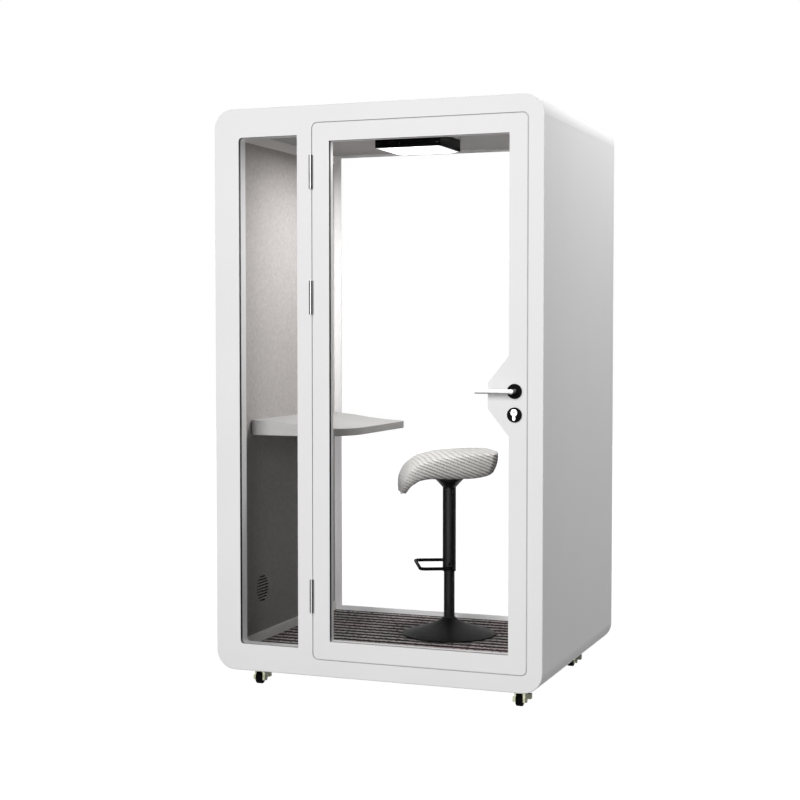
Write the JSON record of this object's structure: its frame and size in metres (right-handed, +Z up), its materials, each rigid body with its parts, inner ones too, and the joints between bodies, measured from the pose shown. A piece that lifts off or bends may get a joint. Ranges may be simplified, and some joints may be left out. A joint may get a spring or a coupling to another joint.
{
  "type": "office booth",
  "caption": "Rounded office booth on casters with a glazed door, side window and glazed back, felt walls, a wall desk, a ceiling light and a height-adjustable stool.",
  "frame": {"origin": "on the floor, under the middle of the whole object's box, outer door lever included", "axes": "+Z up; +X to the right of a person standing in front of the door; -Y is the way the door opens"},
  "size_m": [1.36, 1.184, 2.3],
  "materials": {
    "white_frame": "satin white powder coat",
    "white_skin": "satin white powder coat",
    "grey_trim": "satin grey powder coat",
    "felt": "warm grey pressed felt",
    "filling": "dark acoustic foam",
    "lining": "white board",
    "floor_steel": "dark primer",
    "plywood": "birch plywood",
    "carpet": "ribbed dark carpet with pale ribs",
    "glass": "clear tempered glass",
    "gasket": "black rubber",
    "steel": "brushed stainless steel",
    "black_coat": "matt black powder coat",
    "desk_laminate": "pale grey laminate on board",
    "diffuser": "opal, lit from behind",
    "board": "white circuit board",
    "black_plastic": "black moulded plastic",
    "white_plastic": "white moulded plastic",
    "chrome": "polished chrome",
    "caster_yellow": "yellow zinc",
    "wheel": "black tread",
    "grey_seal": "pale grey rubber",
    "seat_fabric": "pale grey woven fabric"
  },
  "bodies": {
    "booth": {"front_frame": "white_frame", "back_frame": "white_frame", "corner_posts": "white_frame", "outer_skins": "white_skin", "insulation": "filling", "felt_panels": "felt", "ceiling_panel": "lining", "trim_strips": "grey_trim", "base_frame": "floor_steel", "floor_deck": "plywood", "carpet": "carpet", "sidelight_glass": "glass", "back_glass": "glass", "glazing_gaskets": "gasket", "strike_plate": "steel", "hinge_leaves_frame": "steel", "hinge_pins": "steel", "frame_screws": "steel", "desk_top": "desk_laminate", "desk_brackets": "black_coat", "light_housing": "black_coat", "light_diffuser": "diffuser", "led_board": "board", "fan_housing": "black_plastic", "cable_gland": "black_plastic", "switch_plate": "white_plastic", "caster_plates": "caster_yellow", "stool_base": "black_coat", "stool_column": "black_coat"},
    "door": {"door_frame": "white_frame", "door_glass": "glass", "door_gasket": "gasket", "door_seal": "grey_seal", "hinge_leaves_door": "steel", "door_screws": "steel", "lock_case": "steel", "door_roses": "black_coat", "key_cylinder": "chrome"},
    "lever": {"lever_outside": "chrome", "lever_inside": "chrome", "spindle": "steel"},
    "latch": {"latch_bolt": "steel"},
    "bolt": {"dead_bolt": "steel"},
    "turn": {"thumb_turn": "chrome"},
    "fan": {"fan_rotor": "black_plastic"},
    "rocker": {"light_switch": "white_plastic"},
    "stool_rod": {"stool_piston": "chrome"},
    "stool_top": {"stool_sleeve": "black_coat", "stool_footrest": "black_coat", "stool_mount_plate": "black_coat", "stool_seat": "seat_fabric"},
    "lift_lever": {"stool_lever": "black_coat"},
    "caster_front_left": {"caster_fork_front_left": "caster_yellow"},
    "wheel_front_left": {"caster_wheel_front_left": "wheel"},
    "caster_front_right": {"caster_fork_front_right": "caster_yellow"},
    "wheel_front_right": {"caster_wheel_front_right": "wheel"},
    "caster_rear_left": {"caster_fork_rear_left": "caster_yellow"},
    "wheel_rear_left": {"caster_wheel_rear_left": "wheel"},
    "caster_rear_right": {"caster_fork_rear_right": "caster_yellow"},
    "wheel_rear_right": {"caster_wheel_rear_right": "wheel"}
  },
  "joints": [
    {"name": "door_hinge", "type": "hinge", "parent": "booth", "child": "door", "pos_m": [-0.2584, -0.546, 1.18], "axis": [0, 0, -1], "range_deg": [0, 165]},
    {"name": "lever_turn", "type": "hinge", "parent": "door", "child": "lever", "pos_m": [0.569, -0.518, 1.197], "axis": [0, -1, 0], "range_deg": [0, 45], "stiffness_Nm_per_rad": 1, "springref_deg": -34.38},
    {"name": "latch_slide", "type": "slide", "parent": "door", "child": "latch", "axis": [1, 0, 0], "range_m": [-0.011, 0]},
    {"name": "turn_turn", "type": "hinge", "parent": "door", "child": "turn", "pos_m": [0.569, -0.518, 1.118], "axis": [0, 1, 0], "range_deg": [0, 90]},
    {"name": "bolt_slide", "type": "slide", "parent": "door", "child": "bolt", "axis": [1, 0, 0], "range_m": [0, 0.012]},
    {"name": "fan_spin", "type": "hinge", "parent": "booth", "child": "fan", "pos_m": [-0.644, -0.238, 0.342], "axis": [1, 0, 0], "continuous": true},
    {"name": "rocker_tilt", "type": "hinge", "parent": "booth", "child": "rocker", "pos_m": [0.61, -0.273, 1.22], "axis": [0, 1, 0], "range_deg": [0, 8]},
    {"name": "stool_height", "type": "slide", "parent": "booth", "child": "stool_rod", "axis": [0, 0, 1], "range_m": [-0.185, 0.03]},
    {"name": "stool_swivel", "type": "hinge", "parent": "stool_rod", "child": "stool_top", "pos_m": [0.0725, 0.158, 0.6], "axis": [0, 0, 1], "continuous": true},
    {"name": "lift_lever_pull", "type": "hinge", "parent": "stool_top", "child": "lift_lever", "pos_m": [0.05887, 0.18695, 0.766], "axis": [0.9048, 0.4258, 0], "range_deg": [0, 6], "stiffness_Nm_per_rad": 0.5, "springref_deg": -17.19},
    {"name": "caster_swivel_front_left", "type": "hinge", "parent": "booth", "child": "caster_front_left", "pos_m": [-0.512, -0.47, 0.05], "axis": [0, 0, 1], "continuous": true},
    {"name": "wheel_spin_front_left", "type": "hinge", "parent": "caster_front_left", "child": "wheel_front_left", "pos_m": [-0.512, -0.485, 0.024], "axis": [1, 0, 0], "continuous": true},
    {"name": "caster_swivel_front_right", "type": "hinge", "parent": "booth", "child": "caster_front_right", "pos_m": [0.578, -0.47, 0.05], "axis": [0, 0, 1], "continuous": true},
    {"name": "wheel_spin_front_right", "type": "hinge", "parent": "caster_front_right", "child": "wheel_front_right", "pos_m": [0.578, -0.485, 0.024], "axis": [1, 0, 0], "continuous": true},
    {"name": "caster_swivel_rear_left", "type": "hinge", "parent": "booth", "child": "caster_rear_left", "pos_m": [-0.512, 0.293, 0.05], "axis": [0, 0, 1], "continuous": true},
    {"name": "wheel_spin_rear_left", "type": "hinge", "parent": "caster_rear_left", "child": "wheel_rear_left", "pos_m": [-0.512, 0.278, 0.024], "axis": [1, 0, 0], "continuous": true},
    {"name": "caster_swivel_rear_right", "type": "hinge", "parent": "booth", "child": "caster_rear_right", "pos_m": [0.578, 0.293, 0.05], "axis": [0, 0, 1], "continuous": true},
    {"name": "wheel_spin_rear_right", "type": "hinge", "parent": "caster_rear_right", "child": "wheel_rear_right", "pos_m": [0.578, 0.278, 0.024], "axis": [1, 0, 0], "continuous": true}
  ],
  "couplings": [
    {"joint": "latch_slide", "follows": "lever_turn", "m_per_rad": -0.014},
    {"joint": "bolt_slide", "follows": "turn_turn", "m_per_rad": 0.0076}
  ]
}
